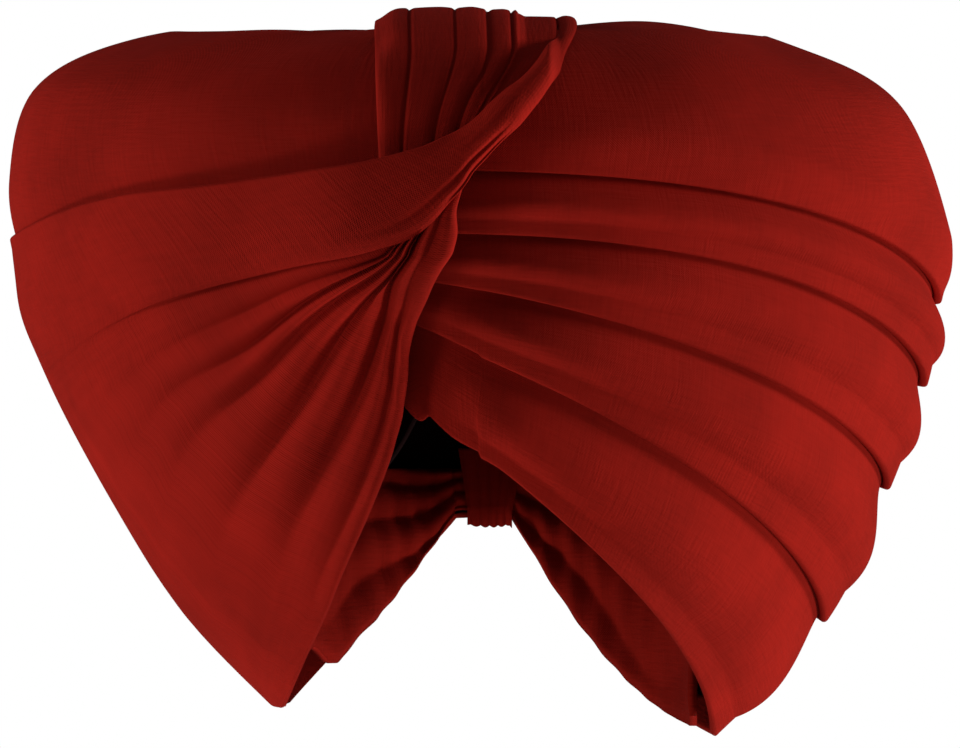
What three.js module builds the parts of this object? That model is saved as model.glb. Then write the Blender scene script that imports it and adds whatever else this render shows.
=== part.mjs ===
// A wound cloth turban, held up as a head holds it. Millimetres, +Z up, front towards -Y.
// The origin is the seat: the point inside the inner layer where the top of the head touches.
// Places on the turban are an azimuth in degrees, 0 at the front and 90 at the wearer's left
// (+X), and a level, 0 at the middle of the crown and 9 at the lower rim.
import * as THREE from 'three';
import { mergeVertices } from 'three/addons/utils/BufferGeometryUtils.js';

// Driving sizes
const HALF_WIDTH = 150;
const FRONT_REACH = 132;
const BACK_REACH = 132;
const CROWN_RISE = 70;
const FRONT_DROP = 49;
const RIGHT_DROP = 156;
const NAPE_DROP = 88;
const LEFT_DROP = 145;
const WRAP_THICKNESS = 3;
const INNER_THICKNESS = 2;
const DRAPE_THICKNESS = 2.8;
const PLEAT_THICKNESS = 2.4;
const NAPE_THICKNESS = 2.4;
const TUCK_THICKNESS = 2;
const CONTACT_GAP = 0.35;
const CROSSING_GAP = 1.35;
const WRAP_PUFF = 2.6;
const HEAD_HALF_WIDTH = 77;
const HEAD_FRONT_REACH = 99;
const HEAD_BACK_REACH = 96;
const HEAD_DOME_DEPTH = 85;
const TUCK_HALF_WIDTH = 9.5;
const PLEAT_DEPTH = 1.3;
const PLEAT_PUFF = 1;
const NECK_ROUNDING_SHARE = 0.9;

// Where the slanting edges meet at the front, and how wide the hem stays level at the nape
const APEX_AZIMUTH = -15;
const NAPE_FLAT_SHARE = 0.13;
const WRAP_START_AZIMUTH = -22.5;
const WRAP_END_AZIMUTH = 217.5;
const PUFF_START_AZIMUTH = -12;
const PUFF_END_AZIMUTH = 200;
const TURN_STEP = 7.5;
const LAP_LEVELS = 0.25;
const WRAP_STEP = WRAP_THICKNESS + CONTACT_GAP;

const CLOTH_RED = 0x8c140e;
const SHADOW_RED = 0x5a0c0a;
const INNER_BLACK = 0x120405;

// Rings of the outer form, crown to rim. Reaches are shares of the half width and of the front
// and back reach. Heights are shares of the crown's rise, or below the seat of that side's drop.
// The bows say how fast a level line falls away: to the left and right of the front apex, and
// from the nape. The curl says how it turns down at its end on the wearer's left, front and back.
const FRONT_CURL = 0.6;
const OUTER_RINGS = [
  { right: 0, left: 0, front: 0, back: 0,
    frontHeight: 1, rightHeight: 1, backHeight: 1, leftHeight: 1,
    leftBow: 2, rightBow: 2, backBow: 2, backCurl: 1 },
  { right: 0.36, left: 0.36, front: 0.38, back: 0.38,
    frontHeight: 1, rightHeight: 1.08, backHeight: 1, leftHeight: 1.03,
    leftBow: 2, rightBow: 2, backBow: 2, backCurl: 1 },
  { right: 0.667, left: 0.733, front: 0.69, back: 0.69,
    frontHeight: 0.92, rightHeight: 0.92, backHeight: 0.88, leftHeight: 0.945,
    leftBow: 2, rightBow: 2, backBow: 2, backCurl: 1 },
  { right: 0.893, left: 0.947, front: 0.9, back: 0.9,
    frontHeight: 0.75, rightHeight: 0.64, backHeight: 0.67, leftHeight: 0.73,
    leftBow: 2, rightBow: 2, backBow: 2, backCurl: 1 },
  { right: 1, left: 1, front: 1, back: 1,
    frontHeight: 0.54, rightHeight: 0.04, backHeight: 0.37, leftHeight: 0.3,
    leftBow: 2, rightBow: 2.3, backBow: 2, backCurl: 1 },
  { right: 0.98, left: 0.965, front: 1, back: 0.995,
    frontHeight: 0.3, rightHeight: -0.115, backHeight: 0.03, leftHeight: -0.055,
    leftBow: 2.3, rightBow: 2.9, backBow: 1.8, backCurl: 1 },
  { right: 0.95, left: 0.89, front: 0.975, back: 0.96,
    frontHeight: 0.03, rightHeight: -0.285, backHeight: -0.25, leftHeight: -0.276,
    leftBow: 1.55, rightBow: 2.7, backBow: 1.6, backCurl: 1 },
  { right: 0.868, left: 0.75, front: 0.935, back: 0.885,
    frontHeight: -0.235, rightHeight: -0.495, backHeight: -0.52, leftHeight: -0.55,
    leftBow: 1.45, rightBow: 1.5, backBow: 1.4, backCurl: 1 },
  { right: 0.73, left: 0.6, front: 0.88, back: 0.79,
    frontHeight: -0.5, rightHeight: -0.765, backHeight: -0.77, leftHeight: -0.79,
    leftBow: 1.3, rightBow: 1.08, backBow: 1.25, backCurl: 1 },
  { right: 0.5, left: 0.403, front: 0.81, back: 0.68,
    frontHeight: -1, rightHeight: -1, backHeight: -1, leftHeight: -1,
    leftBow: 1.05, rightBow: 0.93, backBow: 0.97, backCurl: 1.4 },
];
const RIM_LEVEL = OUTER_RINGS.length - 1;
const FIRST_EDGE_LEVEL = 5;

// Lines of the front drape, upper edge to free edge. across is the place in the narrow neck,
// 0 at its upper margin; the six stops are azimuth and level on the way to the drape's back end;
// height is how far the line stands out near the twist and far from it, in drape thicknesses.
const DRAPE_LINES = [
  { across: 0, near: [-8.8, 4.64], mid: [-18.5, 4.9], fan: [-27.5, 5], far: [-36.2, 4.96],
    side: [-59, 4.73], end: [-164, 4.5], height: [0.1, 0] },
  { across: 0.22, near: [-8.4, 4.83], mid: [-18.3, 5.22], fan: [-27.6, 5.3], far: [-36.3, 5.22],
    side: [-59.7, 5], end: [-162, 4.9], height: [0.8, 0.35] },
  { across: 0.5, near: [-8.2, 5.23], mid: [-17.6, 5.55], fan: [-27.1, 5.64], far: [-35.9, 5.53],
    side: [-59.4, 5.26], end: [-160, 5.3], height: [1.3, 0.6] },
  { across: 0.78, near: [-10.9, 5.89], mid: [-16.7, 6.06], fan: [-24.3, 6.08], far: [-31.7, 5.96],
    side: [-49.7, 5.76], end: [-158, 5.9], height: [1.9, 1.3] },
  { across: 0.82, near: [-12.1, 6.09], mid: [-17.8, 6.27], fan: [-25.3, 6.24], far: [-32.9, 6.13],
    side: [-51.6, 5.93], end: [-155, 6.7], height: [-0.45, -0.4] },
  { across: 0.845, near: [-12.2, 6.12], mid: [-18.3, 6.32], fan: [-25.7, 6.35], far: [-33.1, 6.31],
    side: [-50, 6.17], end: [-152, 7.4], height: [1, 0.9] },
  { across: 0.865, near: [-13.2, 6.26], mid: [-20.1, 6.48], fan: [-27.4, 6.52], far: [-34.8, 6.5],
    side: [-51.4, 6.39], end: [-149, 8.2], height: [-0.2, 0] },
  { across: 0.885, near: [-12.8, 6.26], mid: [-19.2, 6.52], fan: [-26.5, 6.64], far: [-33.9, 6.7],
    side: [-50.1, 6.6], end: [-146, 9], height: [1, 0.9] },
  { across: 0.9, near: [-13.8, 6.46], mid: [-19.5, 6.73], fan: [-26.9, 6.84], far: [-34.5, 6.91],
    side: [-51.2, 6.8], end: [-139, 9], height: [-0.45, -0.4] },
  { across: 0.915, near: [-13, 6.4], mid: [-19.4, 6.83], fan: [-26.9, 7], far: [-34.3, 7.09],
    side: [-51.1, 7.03], end: [-132, 9], height: [1.1, 1] },
  { across: 0.93, near: [-13.8, 6.61], mid: [-21.3, 7.12], fan: [-28.6, 7.24], far: [-36, 7.3],
    side: [-54.3, 7.22], end: [-125, 9], height: [-0.45, -0.45] },
  { across: 0.942, near: [-12.8, 6.55], mid: [-19.7, 7.15], fan: [-27.1, 7.42], far: [-34.3, 7.56],
    side: [-52.5, 7.61], end: [-118, 9], height: [1.2, 1.1] },
  { across: 0.952, near: [-13.2, 6.77], mid: [-19.8, 7.41], fan: [-27, 7.68], far: [-34.1, 7.82],
    side: [-54.2, 7.93], end: [-110, 9], height: [-0.45, -0.45] },
  { across: 0.962, near: [-11.3, 6.54], mid: [-16.9, 7.29], fan: [-23.7, 7.84], far: [-30.7, 8.09],
    side: [-50, 8.21], end: [-103, 9], height: [1.2, 1.2] },
  { across: 0.972, near: [-10.5, 6.55], mid: [-15.4, 7.45], fan: [-21.8, 8.07], far: [-28.8, 8.3],
    side: [-48.7, 8.43], end: [-97, 9], height: [-0.45, -0.5] },
  { across: 0.985, near: [-6.8, 6.28], mid: [-9.5, 7.08], fan: [-17.3, 8.17], far: [-24.4, 8.47],
    side: [-46.5, 8.74], end: [-91, 9], height: [1.4, 1.3] },
  { across: 1, near: [-3.7, 6.11], mid: [-5.9, 6.96], fan: [-11.6, 8.18], far: [-20.7, 8.67],
    side: [-47.9, 9], end: [-86, 9], height: [0.4, 0.2] },
];

// The drape's neck: first plan positions of its two margins over the crown, from the back, then
// azimuth and level of both margins from the shoulder down to the twist
const NECK_ON_CROWN = [
  { upperX: 21, lowerX: 27, y: 76 },
  { upperX: 22, lowerX: 30, y: 52 },
  { upperX: 22, lowerX: 31, y: 20 },
  { upperX: 22, lowerX: 31, y: -14 },
  { upperX: 22, lowerX: 31, y: -48 },
  { upperX: 21.5, lowerX: 30, y: -72 },
];
const NECK_ON_FRONT = [
  { upper: [11.5, 2.3], lower: [15.5, 2.1] },
  { upper: [6, 3.1], lower: [10.5, 2.95] },
  { upper: [0.5, 3.85], lower: [6.3, 3.95] },
  { upper: [-5, 4.4], lower: [1.5, 4.8] },
  { upper: [-8, 4.62], lower: [-3, 5.6] },
];
const DRAPE_STOPS = ['near', 'mid', 'fan', 'far', 'side', 'beyond', 'end'];
// One more stop lies beyond the side, this share of the way to the end
const BEYOND_SHARE = 0.33;
// Stops past the twist where the folds reach their far height, and where they fade away
const FOLDS_FAR_BY = 4;
const FOLDS_CHANGE_OVER = 2.5;
const FOLDS_FADE_FROM = 3.6;
const FOLDS_FADE_OVER = 1.6;
// Rows of mesh in each stretch between two stations of the drape
const DRAPE_ROWS = [1, 1, 1, 1, 1, 1, 1, 1, 1, 1, 2, 2, 2, 2, 2, 4, 6];

// Folds of the pleated strip over the crown: place across from the wearer's right, and height
const PLEATS = [
  { across: 0, height: 0 }, { across: 0.06, height: 1 }, { across: 0.17, height: 0.9 },
  { across: 0.2, height: 0.1 }, { across: 0.25, height: 1 }, { across: 0.42, height: 0.9 },
  { across: 0.46, height: 0 }, { across: 0.55, height: 1 }, { across: 0.61, height: 0.1 },
  { across: 0.7, height: 1 }, { across: 0.75, height: 0.1 }, { across: 0.86, height: 0.9 },
  { across: 1, height: 0.2 },
];

const clamp01 = (x) => Math.min(1, Math.max(0, x));
const smooth = (x) => clamp01(x) ** 2 * (3 - 2 * clamp01(x));
const mix = (a, b, share) => a + (b - a) * share;
const radians = (degrees) => (degrees * Math.PI) / 180;
const mod360 = (degrees) => ((degrees % 360) + 360) % 360;

// A smooth curve through evenly spaced values
function through(values, place) {
  const last = values.length - 1;
  const at = Math.min(last, Math.max(0, place));
  const i = Math.min(last - 1, Math.floor(at));
  const f = at - i;
  const value = (k) => values[Math.min(last, Math.max(0, k))];
  const startSlope = (value(i + 1) - value(i - 1)) / 2;
  const endSlope = (value(i + 2) - value(i)) / 2;
  return (2 * f ** 3 - 3 * f ** 2 + 1) * value(i) + (f ** 3 - 2 * f ** 2 + f) * startSlope
    + (3 * f ** 2 - 2 * f ** 3) * value(i + 1) + (f ** 3 - f ** 2) * endSlope;
}

const OUTER_COLUMNS = Object.fromEntries(
  Object.keys(OUTER_RINGS[0]).map((name) => [name, OUTER_RINGS.map((ring) => ring[name])]));
const column = (name, level) => through(OUTER_COLUMNS[name], level);

// The outer form of the turban, without thickness or laps
function outerForm(azimuth, level) {
  const sine = Math.sin(radians(azimuth));
  const cosine = Math.cos(radians(azimuth));
  const isLeft = sine < 0;
  const isBack = cosine < 0;
  const height = (share, drop) => (share >= 0 ? share * CROWN_RISE : share * drop);
  const sideHeight = isLeft ? height(column('leftHeight', level), LEFT_DROP)
    : height(column('rightHeight', level), RIGHT_DROP);
  const midHeight = isBack ? height(column('backHeight', level), NAPE_DROP)
    : height(column('frontHeight', level), FRONT_DROP);
  const apex = Math.sin(radians(APEX_AZIMUTH));
  const away = isBack ? (Math.abs(sine) - NAPE_FLAT_SHARE) / (1 - NAPE_FLAT_SHARE)
    : Math.abs(sine - apex) / (1 - apex * Math.sign(sine - apex));
  const isRightOfApex = isBack ? sine > 0 : sine > apex;
  const bow = column(isBack ? 'backBow' : isRightOfApex ? 'rightBow' : 'leftBow', level);
  const curl = !isRightOfApex ? 1 : isBack ? column('backCurl', level) : FRONT_CURL;
  const fall = 1 - (1 - clamp01(away) ** bow) ** curl;
  return new THREE.Vector3(
    sine * column(isLeft ? 'left' : 'right', level) * HALF_WIDTH,
    -cosine * (isBack ? column('back', level) * BACK_REACH : column('front', level) * FRONT_REACH),
    mix(midHeight, sideHeight, fall));
}

// The head-shaped form of the inner layer: a dome on the head that meets the turban's rim
function innerForm(azimuth, share) {
  const turned = mod360(azimuth);
  const fromDrape = Math.min(turned - WRAP_END_AZIMUTH, 360 + WRAP_START_AZIMUTH - turned);
  const rimOffset = mix(-WRAP_STEP - CONTACT_GAP * 0.6, CONTACT_GAP, smooth((fromDrape - 4) / 16));
  const rim = offsetPoint(azimuth, RIM_LEVEL, rimOffset);
  const flat = Math.hypot(rim.x, rim.y);
  const isBack = turned > 90 && turned < 270;
  const headReach = Math.hypot(HEAD_HALF_WIDTH * Math.sin(radians(azimuth)),
    (isBack ? HEAD_BACK_REACH : HEAD_FRONT_REACH) * Math.cos(radians(azimuth)));
  const height = rim.z * (1 - Math.cos(share * Math.PI / 2));
  const belowDome = clamp01(-height / HEAD_DOME_DEPTH);
  const dome = headReach * Math.sqrt(1 - (1 - belowDome) ** 2);
  const reach = mix(dome, flat, smooth(share * 2 - 1));
  return new THREE.Vector3(rim.x / flat * reach, rim.y / flat * reach, height);
}

// The direction out of a form at a place on it
function outward(form, azimuth, level, step) {
  const low = Math.max(step, level);
  const along = form(azimuth + 0.5, low).sub(form(azimuth - 0.5, low));
  const down = form(azimuth, low + step).sub(form(azimuth, low - step));
  return down.cross(along).normalize();
}

function offsetPoint(azimuth, level, offset) {
  if (level <= 0) {
    return outerForm(azimuth, 0).add(new THREE.Vector3(0, 0, offset));
  }
  const safe = Math.min(level, RIM_LEVEL - 0.05);
  return outerForm(azimuth, level).addScaledVector(outward(outerForm, azimuth, safe, 0.04), offset);
}

// A closed sheet of cloth. skins(i, j) gives two points of a grid of rows + 1 by columns + 1
// points: first the side seen with the columns running rightwards as the rows run down. A ring
// joins its last column to its first.
function sheet(rows, columns, isRing, skins) {
  const positions = [];
  const index = [];
  const across = isRing ? columns : columns + 1;
  for (let i = 0; i <= rows; i++) {
    for (let j = 0; j < across; j++) {
      skins(i, j).forEach((point) => positions.push(point.x, point.y, point.z));
    }
  }
  const corner = (i, j, skin) => 2 * (i * across + (j % across)) + skin;
  const quad = (a, b, c, d) => index.push(a, b, c, a, c, d);
  for (let i = 0; i < rows; i++) {
    for (let j = 0; j < columns; j++) {
      quad(corner(i, j, 0), corner(i + 1, j, 0), corner(i + 1, j + 1, 0), corner(i, j + 1, 0));
      quad(corner(i, j, 1), corner(i, j + 1, 1), corner(i + 1, j + 1, 1), corner(i + 1, j, 1));
    }
  }
  for (let j = 0; j < columns; j++) {
    quad(corner(0, j, 1), corner(0, j, 0), corner(0, j + 1, 0), corner(0, j + 1, 1));
    quad(corner(rows, j, 0), corner(rows, j, 1), corner(rows, j + 1, 1), corner(rows, j + 1, 0));
  }
  for (let i = 0; i < rows && !isRing; i++) {
    quad(corner(i, 0, 0), corner(i, 0, 1), corner(i + 1, 0, 1), corner(i + 1, 0, 0));
    quad(corner(i, columns, 1), corner(i, columns, 0), corner(i + 1, columns, 0), corner(i + 1, columns, 1));
  }
  return closed(positions, index);
}

// Joins points that coincide, as at the middle of a crown, and drops the triangles they flatten
function closed(positions, index) {
  const loose = new THREE.BufferGeometry();
  loose.setAttribute('position', new THREE.Float32BufferAttribute(positions, 3));
  loose.setIndex(index);
  const merged = mergeVertices(loose, 1e-3);
  const corners = Array.from(merged.index.array);
  const kept = [];
  for (let k = 0; k < corners.length; k += 3) {
    const [a, b, c] = corners.slice(k, k + 3);
    if (a !== b && b !== c && c !== a) kept.push(a, b, c);
  }
  merged.setIndex(kept);
  merged.computeVertexNormals();
  return merged;
}

const turban = new THREE.Group();

function addPiece(name, geometry, colour) {
  const material = new THREE.MeshStandardMaterial({
    color: colour, roughness: 0.9, metalness: 0, side: THREE.FrontSide,
  });
  const mesh = new THREE.Mesh(geometry, material);
  mesh.name = name;
  turban.add(mesh);
}

// The inner layer, snug on the head, whose dark inside shows through the face opening. Behind the
// drape's free edge its own edge is drawn up out of sight.
const INNER_ROWS = 9;
const INNER_TURN_STEP = 9;
const DRAWN_UP_SHARE = 0.08;
const DRAWN_UP_FROM = 232;
const DRAWN_UP_TO = 327;
function innerRim(azimuth) {
  const turned = mod360(azimuth);
  const behindEdge = smooth((turned - DRAWN_UP_FROM) / 12) * (1 - smooth((turned - DRAWN_UP_TO) / 12));
  return 1 - DRAWN_UP_SHARE * behindEdge;
}

function innerLayer() {
  return sheet(INNER_ROWS, 360 / INNER_TURN_STEP, true, (i, j) => {
    const azimuth = APEX_AZIMUTH + j * INNER_TURN_STEP;
    const share = i / INNER_ROWS * innerRim(azimuth);
    const outer = innerForm(azimuth, share);
    const out = share === 0 ? new THREE.Vector3(0, 0, 1)
      : outward(innerForm, azimuth, Math.min(share, 0.97), 0.02);
    outer.addScaledVector(out, INNER_THICKNESS * (1 - smooth(share * 2)));
    return [outer, outer.clone().addScaledVector(out, -INNER_THICKNESS)];
  });
}

// The cloth that closes the crown, under the top edge of the upper wrap
const UPPER_WRAP_TOP_LEVEL = 1.75;
function crownDisc() {
  const levels = [0, 0.45, 0.9, 1.35, UPPER_WRAP_TOP_LEVEL, UPPER_WRAP_TOP_LEVEL + LAP_LEVELS];
  return sheet(levels.length - 1, 360 / TURN_STEP, true, (i, j) => {
    const azimuth = APEX_AZIMUTH + j * TURN_STEP;
    return [-WRAP_STEP, -WRAP_STEP - WRAP_THICKNESS].map((offset) => offsetPoint(azimuth, levels[i], offset));
  });
}

// The widest turn, right round the head; on the wearer's right it runs on under the drape
const RUN_ON_LEVELS = 0.3;
const DRAPE_COVERS_FROM = 228;
function upperWrap() {
  const lapped = [UPPER_WRAP_TOP_LEVEL, UPPER_WRAP_TOP_LEVEL + LAP_LEVELS];
  const levels = [...lapped, 2.7, 3.4, 4.1, 4.55, 4.8, FIRST_EDGE_LEVEL];
  return sheet(levels.length - 1, 360 / TURN_STEP, true, (i, j) => {
    const azimuth = APEX_AZIMUTH + j * TURN_STEP;
    const isUnderDrape = azimuth > DRAPE_COVERS_FROM;
    const level = i === levels.length - 1 && isUnderDrape ? levels[i] + RUN_ON_LEVELS : levels[i];
    return [0, -WRAP_THICKNESS].map((offset) => offsetPoint(azimuth, level, offset));
  });
}

// A lower turn from the front apex round the wearer's left side to the back, lapped under the
// turn above it and standing out over the turn below
function wrapOffset(azimuth, place) {
  const sunk = -WRAP_STEP * (1 - smooth(place / (1 - LAP_LEVELS)));
  const clear = smooth((azimuth - PUFF_START_AZIMUTH) / 20) * smooth((PUFF_END_AZIMUTH - azimuth) / 20);
  return sunk + WRAP_PUFF * clear * Math.sin(Math.PI * clamp01(place / (1 - LAP_LEVELS)));
}

const START_RISE_LEVELS = 0.6;
function lowerWrap(edge) {
  const levels = [edge - 1 - LAP_LEVELS, edge - 1, edge - 0.72, edge - 0.5, edge - LAP_LEVELS, edge];
  const start = edge === FIRST_EDGE_LEVEL + 1 ? APEX_AZIMUTH : WRAP_START_AZIMUTH;
  const columns = (WRAP_END_AZIMUTH - start) / TURN_STEP;
  return sheet(levels.length - 1, columns, false, (i, j) => {
    const azimuth = start + j * TURN_STEP;
    const rise = edge === RIM_LEVEL && azimuth < APEX_AZIMUTH ? START_RISE_LEVELS : 0;
    const level = levels[i] - rise * (levels[i] - levels[0]) / (edge - levels[0]);
    const offset = wrapOffset(azimuth, level - (edge - 1));
    return [0, -WRAP_THICKNESS].map((skin) => offsetPoint(azimuth, level, offset + skin));
  });
}

// How far the drape's inner side stands off the outer form: over the pleats at the front, close
// to the wraps elsewhere, and down on the crown's cloth inside the ring of the upper wrap
function drapeLift(azimuth, level) {
  const { x } = outerForm(azimuth, level);
  const overPleats = smooth((x + 72) / 38) * (1 - smooth((x - 20) / 5))
    * (1 - smooth((level - 6.2) / 1.4)) * smooth((level - 2.15) / 0.5);
  return mix(CROSSING_GAP, PLEAT_THICKNESS + PLEAT_DEPTH + 2.3 * CROSSING_GAP, overPleats)
    - WRAP_STEP * ontoCrown(azimuth, level);
}

// Azimuth and level of one line of the drape at a station
function drapePlace(line, station) {
  const onCrown = NECK_ON_CROWN.map(
    ({ upperX, lowerX, y }) => crownPlace(mix(upperX, lowerX, line.across), y));
  const onFront = NECK_ON_FRONT.map(
    ({ upper, lower }) => [0, 1].map((k) => mix(upper[k], lower[k], line.across)));
  const beyond = [0, 1].map((k) => mix(line.side[k], line.end[k], BEYOND_SHARE));
  const path = [...onCrown, ...onFront, ...DRAPE_STOPS.map((stop) => line[stop] ?? beyond)];
  return [0, 1].map((k) => through(path.map((place) => place[k]), station));
}

// The folded cloth that crosses the front: a narrow neck over the crown and down to a twist at
// the brow, then a fan of folds spread over the wearer's right side
function frontDrape() {
  const stations = [0];
  DRAPE_ROWS.forEach((rows, stretch) => {
    for (let row = 1; row <= rows; row++) stations.push(stretch + row / rows);
  });
  const twist = NECK_ON_CROWN.length + NECK_ON_FRONT.length - 1;
  return sheet(stations.length - 1, DRAPE_LINES.length - 1, false, (i, j) => {
    const beyondTwist = stations[i] - twist;
    const line = DRAPE_LINES[j];
    const [azimuth, level] = drapePlace(line, stations[i]);
    const fold = mix(line.height[1], line.height[0], smooth((FOLDS_FAR_BY - beyondTwist) / FOLDS_CHANGE_OVER))
      * (1 - smooth((beyondTwist - FOLDS_FADE_FROM) / FOLDS_FADE_OVER));
    const rounding = NECK_ROUNDING_SHARE * smooth((stations[i] - NECK_ON_CROWN.length + 2) / 3);
    const rounded = Math.sin(Math.PI * line.across) * rounding;
    const height = DRAPE_THICKNESS * (1 + mix(rounded, fold, smooth(beyondTwist)));
    const lift = drapeLift(azimuth, level);
    return [lift + height, Math.max(lift, lift + height - DRAPE_THICKNESS)].map(
      (offset) => offsetPoint(azimuth, Math.min(level, RIM_LEVEL), offset));
  });
}

// The pleated strip that comes over the crown and tucks behind the drape at the front
const PLEATS_LEFT_X = -31;
const PLEATS_FRONT_RIGHT_X = 6;
const PLEATS_CROWN_RIGHT_X = 17.5;
const PLEATS_FRONT_LEVEL = 4.95;
const PLEATS_ROWS_FRONT = 6;
const PLEATS_CROWN_ROWS = [0.04, 0.12, 0.3, 0.52, 0.76, 1];
const PLEATS_SHOULDER_LEVEL = 2;
function crownPleats() {
  const rows = PLEATS_ROWS_FRONT + PLEATS_CROWN_ROWS.length;
  return sheet(rows, PLEATS.length - 1, false, (i, j) => {
    const { across, height } = PLEATS[j];
    const onFront = i <= PLEATS_ROWS_FRONT;
    const share = onFront ? i / PLEATS_ROWS_FRONT : 1;
    const rightX = mix(PLEATS_FRONT_RIGHT_X, PLEATS_CROWN_RIGHT_X, smooth(share * 1.4));
    const x = mix(PLEATS_LEFT_X, rightX, across);
    const frontLevel = mix(PLEATS_FRONT_LEVEL - 0.5 * across, PLEATS_SHOULDER_LEVEL, share);
    const side = x < 0 ? 'left' : 'right';
    const azimuthAt = (level) => Math.asin(x / (column(side, level) * HALF_WIDTH)) * 180 / Math.PI;
    let place = [azimuthAt(frontLevel), frontLevel];
    if (!onFront) {
      const back = PLEATS_CROWN_ROWS[i - PLEATS_ROWS_FRONT - 1];
      const startY = outerForm(...place).y;
      const endAzimuth = 180 - azimuthAt(UPPER_WRAP_TOP_LEVEL);
      const endY = outerForm(endAzimuth, UPPER_WRAP_TOP_LEVEL - LAP_LEVELS * 0.3).y;
      place = crownPlace(x, mix(startY, endY, back));
    }
    const puff = PLEAT_PUFF * Math.sin(Math.PI * i / rows) ** 2 * (1 - smooth((x + 4) / 10));
    const lift = CROSSING_GAP + puff - WRAP_STEP * ontoCrown(...place);
    return [0, PLEAT_THICKNESS].map((skin) => offsetPoint(...place, lift + skin + height * PLEAT_DEPTH));
  });
}

// 1 where a cloth lies inside the ring of the upper wrap's top edge, 0 where it lies on the wrap
function ontoCrown(azimuth, level) {
  const isBehind = Math.cos(radians(azimuth)) < 0;
  return isBehind && level < UPPER_WRAP_TOP_LEVEL ? 1 : smooth((UPPER_WRAP_TOP_LEVEL - 0.08 - level) / 0.3);
}

// Azimuth and level of the crown point over a place in plan
function crownPlace(x, y) {
  const sideReach = (level) => column(x < 0 ? 'left' : 'right', level) * HALF_WIDTH;
  const depthReach = (level) => (
    y < 0 ? column('front', level) * FRONT_REACH : column('back', level) * BACK_REACH);
  let low = 0.001;
  let high = PLEATS_SHOULDER_LEVEL + 1;
  for (let halving = 0; halving < 30; halving++) {
    const middle = (low + high) / 2;
    const isInside = (x / sideReach(middle)) ** 2 + (y / depthReach(middle)) ** 2 < 1;
    if (isInside) high = middle;
    else low = middle;
  }
  const azimuth = Math.atan2(x / sideReach(high), -y / depthReach(high)) * 180 / Math.PI;
  return [azimuth, high];
}

// Offset inwards from the inner layer's outer side, at a share of the way down to its rim
function insideInner(azimuth, share, offset) {
  const out = outward(innerForm, azimuth, Math.min(share, 0.97), 0.02);
  return innerForm(azimuth, share).addScaledVector(out, -offset);
}

// The gathered turn inside the back of the rim, which shows through the face opening
const NAPE_START = APEX_AZIMUTH + 12 * INNER_TURN_STEP;
const NAPE_END = APEX_AZIMUTH + 31 * INNER_TURN_STEP;
const NAPE_COLUMNS = 38;
const NAPE_ROWS = 5;
const NAPE_TOP = 72;
const NAPE_GATHER = 1.2;
const NAPE_SET_IN = INNER_THICKNESS + 1.35;
const NAPE_DRAWN_UP = 0.06;
function napeWrap() {
  return sheet(NAPE_ROWS, NAPE_COLUMNS, false, (i, j) => {
    const azimuth = mix(NAPE_START, NAPE_END, j / NAPE_COLUMNS);
    const topShare = Math.acos(1 + NAPE_TOP / innerForm(azimuth, 1).z) / (Math.PI / 2);
    const hemShare = 0.995 - NAPE_DRAWN_UP * smooth((azimuth - 236) / 20);
    const share = mix(topShare, hemShare, i / NAPE_ROWS);
    const gather = (j % 2) * NAPE_GATHER * clamp01(1.3 - Math.abs(azimuth - 180) / 60);
    return [NAPE_SET_IN, NAPE_SET_IN + NAPE_THICKNESS + gather].map(
      (offset) => insideInner(azimuth, share, offset));
  });
}

// The pleated end of the cloth at the nape: down the outside, round the hem and up the inside
const TUCK_COLUMNS = 10;
const TUCK_OUTSIDE_ROWS = 4;
const TUCK_INSIDE_ROWS = 3;
const TUCK_INSIDE_TOP = 0.845;
const TUCK_PLEAT = 0.9;
const TUCK_CLEARANCE = 1.1;
function napeTuck() {
  const insideOffset = NAPE_SET_IN + NAPE_THICKNESS + NAPE_GATHER + TUCK_CLEARANCE;
  const outside = Array.from({ length: TUCK_OUTSIDE_ROWS + 1 }, (_, k) => ({ down: k / TUCK_OUTSIDE_ROWS }));
  const hem = [{ under: 0.2 }, { under: 0.8 }];
  const inside = Array.from({ length: TUCK_INSIDE_ROWS + 1 }, (_, k) => ({ up: k / TUCK_INSIDE_ROWS }));
  const path = [...outside, ...hem, ...inside];
  return sheet(path.length - 1, TUCK_COLUMNS, false, (i, j) => {
    const x = (j / TUCK_COLUMNS * 2 - 1) * TUCK_HALF_WIDTH;
    const rimReach = column(x < 0 ? 'left' : 'right', RIM_LEVEL) * HALF_WIDTH;
    const azimuth = 180 - Math.asin(x / rimReach) * 180 / Math.PI;
    const { down, under, up } = path[i];
    const outsidePoint = (share, skin) => offsetPoint(azimuth, mix(RIM_LEVEL - 0.9, RIM_LEVEL, share),
      wrapOffset(azimuth, mix(0.1, 1, share)) + TUCK_CLEARANCE + skin).setX(x);
    const insidePoint = (share, skin) => insideInner(azimuth, mix(0.99, TUCK_INSIDE_TOP, share),
      insideOffset + skin).setX(x);
    return [0, TUCK_THICKNESS + (j % 2) * TUCK_PLEAT].map((skin) => {
      if (down !== undefined) return outsidePoint(down, skin);
      if (up !== undefined) return insidePoint(up, skin);
      const point = outsidePoint(1, skin).lerp(insidePoint(0, skin), under);
      return point.setZ(Math.min(outsidePoint(1, 0).z, insidePoint(0, 0).z) - TUCK_CLEARANCE * 1.3 - skin);
    });
  });
}

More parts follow.
